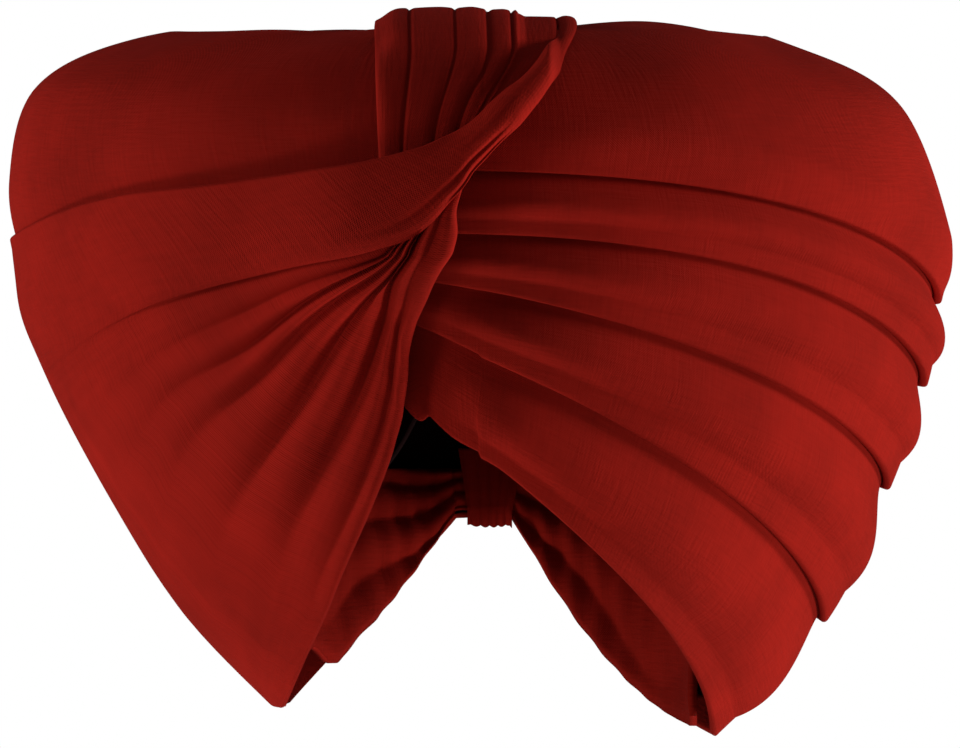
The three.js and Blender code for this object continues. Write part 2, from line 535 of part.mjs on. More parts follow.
addPiece('inner_layer', innerLayer(), INNER_BLACK);
addPiece('crown_disc', crownDisc(), CLOTH_RED);
addPiece('upper_wrap', upperWrap(), CLOTH_RED);
for (let turn = 2; turn <= 5; turn++) {
  addPiece(`lower_wrap_${turn}`, lowerWrap(FIRST_EDGE_LEVEL - 1 + turn), CLOTH_RED);
}
addPiece('crown_pleats', crownPleats(), CLOTH_RED);
addPiece('front_drape', frontDrape(), CLOTH_RED);
addPiece('nape_wrap', napeWrap(), SHADOW_RED);
addPiece('nape_tuck', napeTuck(), SHADOW_RED);

export default turban;
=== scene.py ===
# A pagri turban of folded red cotton, held up as a head holds it and seen from the front.
import math

import bmesh
import bpy
import numpy as np
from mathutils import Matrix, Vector


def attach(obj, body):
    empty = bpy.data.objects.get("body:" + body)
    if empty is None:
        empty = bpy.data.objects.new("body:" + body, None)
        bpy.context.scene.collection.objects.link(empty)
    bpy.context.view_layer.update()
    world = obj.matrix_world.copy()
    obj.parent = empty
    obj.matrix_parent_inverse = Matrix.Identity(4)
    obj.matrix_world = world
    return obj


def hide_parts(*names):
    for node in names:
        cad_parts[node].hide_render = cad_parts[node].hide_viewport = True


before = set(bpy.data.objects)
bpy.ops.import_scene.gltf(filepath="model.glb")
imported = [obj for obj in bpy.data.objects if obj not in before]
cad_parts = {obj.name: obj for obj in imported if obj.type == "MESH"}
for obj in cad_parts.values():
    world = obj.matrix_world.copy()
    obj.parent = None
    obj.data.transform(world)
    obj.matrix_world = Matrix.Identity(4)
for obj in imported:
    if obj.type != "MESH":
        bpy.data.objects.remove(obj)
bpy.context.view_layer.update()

# Camera, lights, floor
# The photograph was taken level with the brow from some way off, against white. Its soft light
# comes from both sides and below the brow, so the crown is darker than the lower edges.
CAMERA_DISTANCE = 2.2
CAMERA_HEIGHT = -0.04
FRAME_WIDTH = 0.3062

camera_data = bpy.data.cameras.new("camera")
camera_data.lens = camera_data.sensor_width * CAMERA_DISTANCE / FRAME_WIDTH
camera = bpy.data.objects.new("camera", camera_data)
camera.location = (0, -CAMERA_DISTANCE, CAMERA_HEIGHT)
camera.rotation_euler = (math.pi / 2, 0, 0)
bpy.context.scene.collection.objects.link(camera)
bpy.context.scene.camera = camera
bpy.context.scene.view_settings.view_transform = "Standard"


def studio_light(name, place, size, watts):
    light = bpy.data.lights.new(name, "AREA")
    light.shape = "RECTANGLE"
    light.size, light.size_y = size
    light.energy = watts
    lamp = bpy.data.objects.new(name, light)
    lamp.location = place
    aim = Vector((0, 0, CAMERA_HEIGHT)) - Vector(place)
    lamp.rotation_euler = aim.to_track_quat("-Z", "Y").to_euler()
    bpy.context.scene.collection.objects.link(lamp)


studio_light("left_light", place=(-1.77, -0.15, 0.25), size=(0.6, 0.5), watts=16)
studio_light("right_light", place=(1.78, -0.1, 0.25), size=(0.6, 0.5), watts=21)
studio_light("left_low_light", place=(-1.4, -0.3, -1.1), size=(0.5, 0.4), watts=9)
studio_light("right_low_light", place=(1.4, -0.15, -1.1), size=(0.5, 0.4), watts=15)

# White to the camera, and dim to the cloth, so that the lights shape its folds
SEEN_STRENGTH, FELT_STRENGTH = 1, 0.1
world = bpy.data.worlds.new("studio")
world.use_nodes = True
bpy.context.scene.world = world
room = world.node_tree.nodes
room.clear()
room_links = world.node_tree.links
seen, felt = (room.new("ShaderNodeBackground") for sky in range(2))
for sky, strength in ((seen, SEEN_STRENGTH), (felt, FELT_STRENGTH)):
    sky.inputs["Color"].default_value = (1, 1, 1, 1)
    sky.inputs["Strength"].default_value = strength
path = room.new("ShaderNodeLightPath")
choose = room.new("ShaderNodeMixShader")
room_out = room.new("ShaderNodeOutputWorld")
room_links.new(path.outputs["Is Camera Ray"], choose.inputs["Fac"])
room_links.new(felt.outputs["Background"], choose.inputs[1])
room_links.new(seen.outputs["Background"], choose.inputs[2])
room_links.new(choose.outputs["Shader"], room_out.inputs["Surface"])

# The floor lies far below the turban, as it does under someone who stands
FLOOR_LEVEL = -1.56
FLOOR_HALF = 2.2
floor_mesh = bpy.data.meshes.new("floor")
floor_mesh.from_pydata(
    [(x * FLOOR_HALF, y * FLOOR_HALF, FLOOR_LEVEL) for x, y in ((-1, -1), (1, -1), (1, 1), (-1, 1))],
    [], [(0, 1, 2, 3)])
floor = bpy.data.objects.new("floor", floor_mesh)
bpy.context.scene.collection.objects.link(floor)
floor_paint = bpy.data.materials.new("pale_floor")
floor_paint.use_nodes = True
floor_surface = floor_paint.node_tree.nodes["Principled BSDF"]
floor_surface.inputs["Base Color"].default_value = (0.86, 0.86, 0.85, 1)
floor_surface.inputs["Roughness"].default_value = 0.9
floor_mesh.materials.append(floor_paint)

# Inner layer
# The snug layer of cotton against the head, which every other turn is wound over. It is
# held by the turns round it. Its near-black colour is painted shade, so its inside shows black
# through the face opening.
MM = 0.001
HALF_WIDTH, FRONT_REACH, BACK_REACH, CROWN_RISE = 150 * MM, 132 * MM, 132 * MM, 70 * MM
FRONT_DROP, RIGHT_DROP, NAPE_DROP, LEFT_DROP = 49 * MM, 156 * MM, 88 * MM, 145 * MM
APEX_AZIMUTH = -15
NAPE_FLAT_SHARE = 0.13
FRONT_CURL = 0.6
RING_COLUMNS = ("right", "left", "front", "back", "front_height", "right_height", "back_height",
                "left_height", "left_bow", "right_bow", "back_bow", "back_curl")
# One row for each level of the wound form, from the crown's middle to the rim; right and left are
# as seen from the front
RINGS = np.array([
    (0, 0, 0, 0, 1, 1, 1, 1, 2, 2, 2, 1),
    (0.36, 0.36, 0.38, 0.38, 1, 1.08, 1, 1.03, 2, 2, 2, 1),
    (0.667, 0.733, 0.69, 0.69, 0.92, 0.92, 0.88, 0.945, 2, 2, 2, 1),
    (0.893, 0.947, 0.9, 0.9, 0.75, 0.64, 0.67, 0.73, 2, 2, 2, 1),
    (1, 1, 1, 1, 0.54, 0.04, 0.37, 0.3, 2, 2.3, 2, 1),
    (0.98, 0.965, 1, 0.995, 0.3, -0.115, 0.03, -0.055, 2.3, 2.9, 1.8, 1),
    (0.95, 0.89, 0.975, 0.96, 0.03, -0.285, -0.25, -0.276, 1.55, 2.7, 1.6, 1),
    (0.868, 0.75, 0.935, 0.885, -0.235, -0.495, -0.52, -0.55, 1.45, 1.5, 1.4, 1),
    (0.73, 0.6, 0.88, 0.79, -0.5, -0.765, -0.77, -0.79, 1.3, 1.08, 1.25, 1),
    (0.5, 0.403, 0.81, 0.68, -1, -1, -1, -1, 1.05, 0.93, 0.97, 1.4),
])
RIM = len(RINGS) - 1
WRAP_THICKNESS, CONTACT_GAP, CROSSING_GAP = 3 * MM, 0.35 * MM, 1.35 * MM
WRAP_STEP = WRAP_THICKNESS + CONTACT_GAP
WRAP_START, WRAP_END = -22.5, 217.5
INNER_THICKNESS = 2 * MM
HEAD_HALF_WIDTH, HEAD_FRONT, HEAD_BACK, HEAD_DOME = 77 * MM, 99 * MM, 96 * MM, 85 * MM
# Degrees past the turns' ends over which the rim moves out to the drape
RIM_MOVES_FROM, RIM_MOVES_OVER = 4, 16
# How far the inner layer is drawn up, as a share of its height, at the front and behind the drape
DRAWN_UP_FRONT, DRAWN_UP_DRAPE = 0.045, 0.08
# Spans of azimuth in degrees: start, ease in, end, ease out
BACK_SPAN, DRAPE_SPAN = (105, 15, 218, 12), (232, 12, 327, 12)


def smooth(x):
    x = np.clip(x, 0, 1)
    return x * x * (3 - 2 * x)


def mix(a, b, share):
    return a + (b - a) * share


def within(x, span):
    """1 inside a span and 0 outside; a span is its start, ease in, end and ease out."""
    start, ease_in, end, ease_out = span
    return smooth((x - start) / ease_in) * (1 - smooth((x - end) / ease_out))


def through(values, place):
    """A smooth curve through evenly spaced values; values run along the first axis."""
    values = np.asarray(values, float)
    last = len(values) - 1
    at = np.clip(place, 0, last)
    i = np.minimum(last - 1, np.floor(at)).astype(int)
    f = at - i
    v0, v1 = values[i], values[i + 1]
    before, after = values[np.maximum(i - 1, 0)], values[np.minimum(i + 2, last)]
    if values.ndim > 1:
        f = f[:, None]
    return ((2 * f**3 - 3 * f**2 + 1) * v0 + (f**3 - 2 * f**2 + f) * (v1 - before) / 2
            + (3 * f**2 - 2 * f**3) * v1 + (f**3 - f**2) * (after - v0) / 2)


def ring(column, level):
    return through(RINGS[:, RING_COLUMNS.index(column)], level)


def wound_form(azimuth, level):
    """A place on the wound form: azimuth in degrees from the front, level from crown to rim."""
    azimuth, level = np.broadcast_arrays(np.asarray(azimuth, float), np.asarray(level, float))
    sine, cosine = np.sin(np.radians(azimuth)), np.cos(np.radians(azimuth))

    def height(column, drop):
        share = ring(column, level)
        return np.where(share >= 0, share * CROWN_RISE, share * drop)

    side = np.where(sine < 0, height("left_height", LEFT_DROP), height("right_height", RIGHT_DROP))
    middle = np.where(cosine < 0, height("back_height", NAPE_DROP), height("front_height", FRONT_DROP))
    apex = math.sin(math.radians(APEX_AZIMUTH))
    away = np.where(cosine < 0, (np.abs(sine) - NAPE_FLAT_SHARE) / (1 - NAPE_FLAT_SHARE),
                    np.abs(sine - apex) / (1 - apex * np.sign(sine - apex)))
    is_right = np.where(cosine < 0, sine > 0, sine > apex)
    bow = np.where(cosine < 0, ring("back_bow", level),
                   np.where(is_right, ring("right_bow", level), ring("left_bow", level)))
    curl = np.where(is_right, np.where(cosine < 0, ring("back_curl", level), FRONT_CURL), 1)
    fall = 1 - (1 - np.clip(away, 0, 1) ** bow) ** curl
    reach = np.where(sine < 0, ring("left", level), ring("right", level)) * HALF_WIDTH
    depth = np.where(cosine < 0, ring("back", level) * BACK_REACH, ring("front", level) * FRONT_REACH)
    return np.stack([sine * reach, -cosine * depth, mix(middle, side, fall)], -1)


def outward(form, azimuth, level, step):
    """Unit normals of a form, which point out of it."""
    level = np.maximum(step, level)
    along = form(azimuth + 0.5, level) - form(azimuth - 0.5, level)
    down = form(azimuth, level + step) - form(azimuth, level - step)
    normal = np.cross(down, along)
    return normal / np.linalg.norm(normal, axis=-1, keepdims=True)


def on_form(azimuth, level, offset):
    """Places that stand off the wound form by an offset in metres."""
    level = np.asarray(level, float)
    normal = outward(wound_form, azimuth, np.minimum(level, RIM - 0.05), 0.04)
    return wound_form(azimuth, level) + normal * np.asarray(offset)[..., None]


def inner_form(azimuth, share):
    """The outer face of the inner layer: the head's dome, which widens to the rim of the turns."""
    azimuth, share = np.broadcast_arrays(np.asarray(azimuth, float), np.asarray(share, float))
    turned = azimuth % 360
    from_drape = np.minimum(turned - WRAP_END, 360 + WRAP_START - turned)
    rim_offset = mix(-WRAP_STEP - CONTACT_GAP * 0.6, CONTACT_GAP,
                     smooth((from_drape - RIM_MOVES_FROM) / RIM_MOVES_OVER))
    rim = on_form(azimuth, np.full(azimuth.shape, float(RIM)), rim_offset)
    flat = np.hypot(rim[..., 0], rim[..., 1])
    is_back = (turned > 90) & (turned < 270)
    reach = np.hypot(HEAD_HALF_WIDTH * np.sin(np.radians(azimuth)),
                     np.where(is_back, HEAD_BACK, HEAD_FRONT) * np.cos(np.radians(azimuth)))
    height = rim[..., 2] * (1 - np.cos(share * math.pi / 2))
    below = np.clip(-height / HEAD_DOME, 0, 1)
    dome = reach * np.sqrt(1 - (1 - below) ** 2)
    reach = mix(dome, flat, smooth(share * 2 - 1))
    return np.stack([rim[..., 0] / flat * reach, rim[..., 1] / flat * reach, height], -1)


def wander(seed, across, along, waves=9):
    """Gentle unevenness of about -1 to 1 over two plain numbers, the same each run."""
    draw = np.random.default_rng(seed)
    total = np.zeros(np.broadcast(across, along).shape)
    for wave in range(waves):
        turn, phase = draw.uniform(0, 2 * math.pi, 2)
        pitch = draw.uniform(0.6, 1.8)
        total = total + np.sin((across * math.cos(turn) + along * math.sin(turn)) * pitch + phase)
    return total / math.sqrt(waves * 2)


def edge_rows(rows, first=True, last=True):
    """Even shares from 0 to 1, with closer ones where a sheet's edge is rounded over."""
    even = np.linspace(0, 1, rows + 1)
    close = np.array([0.03, 0.1, 0.22, 0.4, 0.65]) / rows
    extra = [close] * first + [1 - close] * last
    return np.unique(np.concatenate([even, *extra]))


EDGE_SHARE = 0.06
WELD_DISTANCE = 2e-6


def rounding(distance, thickness):
    """How much of its thickness a sheet has at a distance from its edge."""
    d = np.clip(distance / (thickness / 2), 0, 1)
    return mix(EDGE_SHARE, 1, np.sqrt(1 - (1 - d) ** 2))


def rounded_edges(share, width, thickness):
    """How much of its thickness a sheet has across its width, with both edges rounded over."""
    return np.minimum(rounding(share * width, thickness), rounding((1 - share) * width, thickness))


def all_round(shares, columns):
    """Grids of share and azimuth for a ring of cloth, starting at the apex."""
    return np.meshgrid(shares, APEX_AZIMUTH + 360 * np.arange(columns) / columns, indexing="ij")


def cloth_piece(name, outer, inner, is_ring=False, welded=False):
    """A closed sheet from two grids of places, its outer and inner skins, with a woven UV in metres."""
    rows, columns = outer.shape[:2]
    places = np.stack([outer, inner], 2).reshape(-1, 3)
    across = columns if is_ring else columns - 1
    i, j = np.meshgrid(np.arange(rows - 1), np.arange(across), indexing="ij")

    def at(di, dj, skin):
        return 2 * ((i + di) * columns + (j + dj) % columns) + skin

    faces = [np.stack([at(0, 0, 0), at(1, 0, 0), at(1, 1, 0), at(0, 1, 0)], -1).reshape(-1, 4),
             np.stack([at(0, 0, 1), at(0, 1, 1), at(1, 1, 1), at(1, 0, 1)], -1).reshape(-1, 4)]
    row = np.arange(across)
    top, top_next = 2 * row, 2 * ((row + 1) % columns)
    below_top = 2 * (rows - 1) * columns
    low, low_next = top + below_top, top_next + below_top
    faces.append(np.stack([top + 1, top, top_next, top_next + 1], -1))
    faces.append(np.stack([low, low + 1, low_next + 1, low_next], -1))
    if not is_ring:
        column = np.arange(rows - 1)
        near, near_next = 2 * column * columns, 2 * (column + 1) * columns
        far, far_next = near + 2 * (columns - 1), near_next + 2 * (columns - 1)
        faces.append(np.stack([near, near + 1, near_next + 1, near_next], -1))
        faces.append(np.stack([far + 1, far, far_next, far_next + 1], -1))
    faces = np.concatenate(faces)
    mesh = bpy.data.meshes.new(name)
    mesh.vertices.add(len(places))
    mesh.vertices.foreach_set("co", places.ravel())
    mesh.loops.add(faces.size)
    mesh.loops.foreach_set("vertex_index", faces.ravel().astype(np.int32))
    mesh.polygons.add(len(faces))
    mesh.polygons.foreach_set("loop_start", np.arange(0, faces.size, 4, dtype=np.int32))
    mesh.update(calc_edges=True)
    middle = outer[rows // 2]
    run = np.concatenate([[0], np.cumsum(np.linalg.norm(np.diff(middle, axis=0), axis=-1))])
    fall = np.cumsum(np.linalg.norm(np.diff(outer, axis=0, prepend=outer[:1]), axis=-1), axis=0)
    flat = np.stack([np.broadcast_to(run, fall.shape), fall], -1).reshape(-1, 2)
    weave = mesh.uv_layers.new(name="cloth")
    weave.data.foreach_set("uv", flat[faces.ravel() // 2].ravel())
    mesh.validate()
    mesh.shade_smooth()
    if welded:
        joined = bmesh.new()
        joined.from_mesh(mesh)
        bmesh.ops.remove_doubles(joined, verts=joined.verts, dist=WELD_DISTANCE)
        bmesh.ops.dissolve_degenerate(joined, edges=joined.edges, dist=WELD_DISTANCE / 2)
        joined.to_mesh(mesh)
        joined.free()
    piece = bpy.data.objects.new(name, mesh)
    bpy.context.scene.collection.objects.link(piece)
    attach(piece, "root")
    return piece


# For each metre of cloth: radians of weave, slubs along and across the thread, and worn patches
WEAVE, SLUBS_ALONG, SLUBS_ACROSS, PATCHES = 9000, 90, 900, 22
SLUB_SHARE = 0.6
# Places on the blend of slubs and patches where the colour is all shade and all lit
SHADE_AT, LIT_AT = 0.55, 1
# What each bump follows, its strength and its height
BUMPS = (("Thread Height", 0.35, 0.2 * MM), ("Slub", 0.4, 1.2 * MM))


def cotton_group():
    """Plain weave, slubs and worn patches of cotton, over a UV in metres."""
    group = bpy.data.node_groups.new("cotton_weave", "ShaderNodeTree")
    for name, value in (("Weave", WEAVE), ("Patches", PATCHES)):
        socket = group.interface.new_socket(name, in_out="INPUT", socket_type="NodeSocketFloat")
        socket.default_value = value
    for name in ("Thread Height", "Slub", "Patch"):
        group.interface.new_socket(name, in_out="OUTPUT", socket_type="NodeSocketFloat")
    nodes, links = group.nodes, group.links
    given, result = nodes.new("NodeGroupInput"), nodes.new("NodeGroupOutput")
    cloth = nodes.new("ShaderNodeUVMap")
    cloth.uv_map = "cloth"
    place = nodes.new("ShaderNodeTexCoord")

    def noise(detail, vector):
        texture = nodes.new("ShaderNodeTexNoise")
        texture.inputs["Detail"].default_value = detail
        texture.inputs["Scale"].default_value = 1
        links.new(vector, texture.inputs["Vector"])
        return texture

    def slub(along, across):
        stretch = nodes.new("ShaderNodeMapping")
        stretch.inputs["Scale"].default_value = (along, across, 1)
        links.new(cloth.outputs["UV"], stretch.inputs["Vector"])
        return noise(3, stretch.outputs["Vector"]).outputs["Fac"]

    def math_node(kind, first, second):
        node = nodes.new("ShaderNodeMath")
        node.operation = kind
        for socket, value in zip(node.inputs, (first, second)):
            if isinstance(value, (int, float)):
                socket.default_value = value
            else:
                links.new(value, socket)
        return node.outputs[0]

    split = nodes.new("ShaderNodeSeparateXYZ")
    links.new(cloth.outputs["UV"], split.inputs[0])
    warp, weft = (math_node("SINE", math_node("MULTIPLY", split.outputs[way], given.outputs["Weave"]), 0)
                  for way in "XY")
    links.new(math_node("MULTIPLY", warp, weft), result.inputs["Thread Height"])
    slubs = math_node("ADD", slub(SLUBS_ALONG, SLUBS_ACROSS), slub(SLUBS_ACROSS, SLUBS_ALONG))
    links.new(math_node("MULTIPLY", slubs, 0.5), result.inputs["Slub"])
    patch = noise(5, place.outputs["Object"])
    links.new(given.outputs["Patches"], patch.inputs["Scale"])
    links.new(patch.outputs["Fac"], result.inputs["Patch"])
    return group


COTTON = cotton_group()


def cotton(name, shade, lit, sheen):
    """Matte cotton whose colour runs from shade to lit with its slubs and worn patches."""
    material = bpy.data.materials.new(name)
    material.use_nodes = True
    nodes, links = material.node_tree.nodes, material.node_tree.links
    surface = nodes["Principled BSDF"]
    weave = nodes.new("ShaderNodeGroup")
    weave.node_tree = COTTON
    blend = nodes.new("ShaderNodeMath")
    blend.operation = "MULTIPLY_ADD"
    blend.inputs[1].default_value = SLUB_SHARE
    links.new(weave.outputs["Slub"], blend.inputs[0])
    links.new(weave.outputs["Patch"], blend.inputs[2])
    ramp = nodes.new("ShaderNodeValToRGB")
    for stop, place, colour in zip(ramp.color_ramp.elements, (SHADE_AT, LIT_AT), (shade, lit)):
        stop.position = place
        stop.color = (*colour, 1)
    links.new(blend.outputs[0], ramp.inputs["Fac"])
    links.new(ramp.outputs["Color"], surface.inputs["Base Color"])
    for socket, value in (("Roughness", 0.92), ("Specular IOR Level", 0.06), ("Sheen Weight", sheen),
                          ("Sheen Roughness", 0.5), ("Sheen Tint", (*lit, 1))):
        surface.inputs[socket].default_value = value
    normal = None
    for source, strength, height in BUMPS:
        bump = nodes.new("ShaderNodeBump")
        bump.inputs["Strength"].default_value = strength
        bump.inputs["Distance"].default_value = height
        links.new(weave.outputs[source], bump.inputs["Height"])
        if normal:
            links.new(normal, bump.inputs["Normal"])
        normal = bump.outputs["Normal"]
    links.new(normal, surface.inputs["Normal"])
    return material


# Near-black colour: painted shade for the dark hollow inside the turns, not the cloth's own colour
inner_cotton = cotton("inner_cotton", shade=(0.004, 0.0006, 0.0006), lit=(0.012, 0.0015, 0.0015),
                      sheen=0)


def inner_layer():
    share, azimuth = all_round(edge_rows(56, first=False), 220)
    turned = azimuth % 360
    at_back, behind_drape = within(turned, BACK_SPAN), within(turned, DRAPE_SPAN)
    share = share * (1 - mix(DRAWN_UP_FRONT, DRAWN_UP_DRAPE, behind_drape) * (1 - at_back))
    outer = inner_form(azimuth, share)
    normal = outward(inner_form, azimuth, np.clip(share, 0.02, 0.97), 0.02)
    normal[0] = (0, 0, 1)
    outer = outer + normal * (INNER_THICKNESS * (1 - smooth(share * 2)))[..., None]
    piece = cloth_piece("inner_cotton_layer", outer, outer - normal * INNER_THICKNESS,
                        is_ring=True, welded=True)
    piece.data.materials.append(inner_cotton)
    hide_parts("inner_layer")


inner_layer()

# Crown cloth
# The end of the cloth spread over the crown, which closes it. Its edge is held under the top
# edge of the upper turn.
UPPER_TOP, LAP = 1.75, 0.25
# The unevenness that all the turns share: its seed, its pace round the head and its pace down it
UNEVEN_SEED, UNEVEN_ROUND, UNEVEN_DOWN = 7, 9, (1.7, 0.8)
CROWN_UNEVENNESS = 0.5 * MM
red_cotton = cotton("red_cotton", shade=(0.24, 0.0075, 0.0035), lit=(0.36, 0.011, 0.0055), sheen=0.12)


def add_red(piece, node):
    piece.data.materials.append(red_cotton)
    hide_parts(node)


def uneven(azimuth, level, height):
    """Soft unevenness that all the turns share, so that laps stay closed."""
    turn = np.radians(azimuth)
    return height * wander(UNEVEN_SEED, np.sin(turn) * UNEVEN_ROUND + level * UNEVEN_DOWN[0],
                           np.cos(turn) * UNEVEN_ROUND - level * UNEVEN_DOWN[1])


def crown_cloth():
    level, azimuth = all_round(edge_rows(44, first=False) * (UPPER_TOP + LAP), 260)
    lift = -WRAP_STEP + uneven(azimuth, level, CROWN_UNEVENNESS)
    outer = on_form(azimuth, level, lift)
    piece = cloth_piece("crown_cloth", outer, on_form(azimuth, level, lift - WRAP_THICKNESS),
                        is_ring=True, welded=True)
    add_red(piece, "crown_disc")


crown_cloth()

# Upper turn
# The widest turn of the doubled cloth, wound right round the head above the others. Its lower
# edge is a fold that stands out over the next turn.
FIRST_EDGE = 5
UPPER_WIDTH = 110 * MM
TURN_UNEVENNESS = 0.7 * MM
# Behind the drape the lower edge runs on by this many levels, over this span of azimuth
RUN_ON_LEVELS, RUN_ON_SPAN = 0.3, (222, 8, 342, 3)


def turn_skins(azimuth, level, offset, share, width):
    """Outer and inner skins of a turn whose outer face is at the offset."""
    middle = offset - WRAP_THICKNESS / 2
    half = WRAP_THICKNESS / 2 * rounded_edges(share, width, WRAP_THICKNESS)
    return [on_form(azimuth, level, middle + half), on_form(azimuth, level, middle - half)]


def upper_turn():
    share, azimuth = all_round(edge_rows(76), 440)
    run_on = RUN_ON_LEVELS * within(azimuth % 360, RUN_ON_SPAN)
    level = UPPER_TOP + share * (FIRST_EDGE - UPPER_TOP + run_on)
    skins = turn_skins(azimuth, level, uneven(azimuth, level, TURN_UNEVENNESS), share, UPPER_WIDTH)
    piece = cloth_piece("upper_turn", *skins, is_ring=True)
    add_red(piece, "upper_wrap")


upper_turn()

# Lower turns
# Four doubled turns of the cloth, each slanting from the brow's middle down over the ear and
# round the back. Each is lapped under the one above, and is held by the pull of the next.
LOWER_FRONT_WIDTH, LOWER_SIDE_WIDTH = 35 * MM, 55 * MM
WRAP_PUFF, PUFF_START, PUFF_END, PUFF_EASE = 3.6 * MM, -12, 200, 20
# Above 1, the fullest part of a turn lies nearer its lower edge
PUFF_SAG = 1.3
# The last turn's start is drawn up by this many levels, and its hem at the brow comes down
START_RISE_LEVELS = 0.6
BROW_EASE, BROW_SPAN = 4 * MM, (-24, 8, -10, 16)


def turn_offset(azimuth, place):
    """How far a lower turn's outer face stands off the form, from its place down the turn."""
    place = place / (1 - LAP)
    clear = smooth((azimuth - PUFF_START) / PUFF_EASE) * smooth((PUFF_END - azimuth) / PUFF_EASE)
    bulge = np.sin(math.pi * np.clip(place, 0, 1) ** PUFF_SAG)
    return -WRAP_STEP * (1 - smooth(place)) + WRAP_PUFF * clear * bulge


def lower_turn(number):
    edge = FIRST_EDGE - 1 + number
    is_last = edge == RIM
    start = APEX_AZIMUTH if number == 2 else WRAP_START
    share, azimuth = np.meshgrid(edge_rows(40), np.linspace(start, WRAP_END, 361), indexing="ij")
    rise = START_RISE_LEVELS * smooth((APEX_AZIMUTH - azimuth) / (APEX_AZIMUTH - WRAP_START)) * is_last
    level = edge - 1 - LAP + share * (1 + LAP - rise)
    offset = turn_offset(azimuth, level - edge + 1) + uneven(azimuth, level, TURN_UNEVENNESS)
    width = mix(LOWER_FRONT_WIDTH, LOWER_SIDE_WIDTH, np.abs(np.sin(np.radians(azimuth))))
    skins = turn_skins(azimuth, level, offset, share, width)
    for skin in skins:
        skin[..., 2] -= BROW_EASE * share**3 * within(azimuth, BROW_SPAN) * is_last
    piece = cloth_piece(f"lower_turn_{number}", *skins)
    add_red(piece, f"lower_wrap_{number}")


for number in range(2, 6):
    lower_turn(number)

# Crown pleats
# A strip of the same cloth gathered into soft pleats, which comes over the crown and tucks in
# behind the drape at the brow. It lies on the upper turn and the crown cloth.
PLEAT_THICKNESS, PLEAT_DEPTH, PLEAT_PUFF = 2.4 * MM, 1.5 * MM, 0.8 * MM
PLEATS_FRONT_LEFT, PLEATS_CROWN_LEFT = -29.6 * MM, -32.3 * MM
PLEATS_FRONT_RIGHT, PLEATS_CROWN_RIGHT = 6 * MM, 23.4 * MM
PLEATS_FRONT_LEVEL, PLEATS_SHOULDER_LEVEL, PLEATS_SLANT = 4.95, 2, 0.5
PLEATS_WIDTH = 45 * MM
# How fast the strip widens from the brow; at 1 it would be widest only at the shoulder
PLEATS_WIDENING = 1.4
# Over the crown the strip's sides are pressed flat, to this thickness at the left edge
PRESSED_THICKNESS, PRESSED_FROM, PRESSED_OVER = 0.8 * MM, 0.25, 0.15
LEFT_SLOPE_START, LEFT_SLOPE_OVER = 0.05, 0.18
RIGHT_SLOPE_FROM, RIGHT_SLOPE_OVER, RIGHT_PRESSED_SHARE = 0.77, 0.06, 0.75
# Across the strip its puff dies out from here on, towards the neck of the drape
PUFF_RIGHT_FROM, PUFF_RIGHT_OVER = -4 * MM, 10 * MM
# How far its back end goes in under the upper turn, as a share of the lap
PLEATS_TUCKED_SHARE = 0.3
# The crown sinks by one turn's thickness just inside the upper turn's top edge, in levels
SINK_FROM, SINK_OVER = 0.08, 0.3
# Place across from the wearer's right, and height, of each ridge and crease
PLEATS = ((0, 0.3), (0.08, 1), (0.175, 0.8), (0.19, 0.3), (0.23, 0.85), (0.36, 1), (0.42, 0.8),
          (0.44, 0.3), (0.47, 0.8), (0.54, 1), (0.6, 0.8), (0.62, 0.1), (0.66, 0.9), (0.7, 1),
          (0.735, 0.8), (0.75, 0.1), (0.775, 0.8), (0.79, 0.3), (0.83, 0.6), (1, 0.4))


def azimuth_at(x, level):
    """Azimuth of a place on the front half, from its level and how far it lies to a side."""
    reach = np.where(x < 0, ring("left", level), ring("right", level)) * HALF_WIDTH
    return np.degrees(np.arcsin(x / reach))


def crown_place(x, y):
    """Azimuth and level of the crown over places in plan."""
    x, y = np.broadcast_arrays(np.asarray(x, float), np.asarray(y, float))

    def reaches(level):
        side = np.where(x < 0, ring("left", level), ring("right", level)) * HALF_WIDTH
        depth = np.where(y < 0, ring("front", level) * FRONT_REACH, ring("back", level) * BACK_REACH)
        return side, depth

    low, high = np.full(x.shape, 0.001), np.full(x.shape, 3.0)
    for halving in range(26):
        middle = (low + high) / 2
        side, depth = reaches(middle)
        is_inside = (x / side) ** 2 + (y / depth) ** 2 < 1
        high, low = np.where(is_inside, middle, high), np.where(is_inside, low, middle)
    side, depth = reaches(high)
    return np.degrees(np.arctan2(x / side, -y / depth)), high


def onto_crown(azimuth, level):
    """1 over the sunk crown cloth, and 0 over the upper turn."""
    behind = (np.cos(np.radians(azimuth)) < 0) & (level < UPPER_TOP)
    return np.where(behind, 1, smooth((UPPER_TOP - SINK_FROM - level) / SINK_OVER))


def fold_profile(table, across):
    """Height between listed ridges and creases: round over the ridges, sharp in the creases."""
    place, height = np.array(table).T
    k = np.clip(np.searchsorted(place, across, side="right") - 1, 0, len(place) - 2)
    t = (across - place[k]) / (place[k + 1] - place[k])
    rising = height[k + 1] > height[k]
    shape = np.where(rising, np.sin(t * math.pi / 2), 1 - np.cos(t * math.pi / 2))
    return height[k] + (height[k + 1] - height[k]) * shape


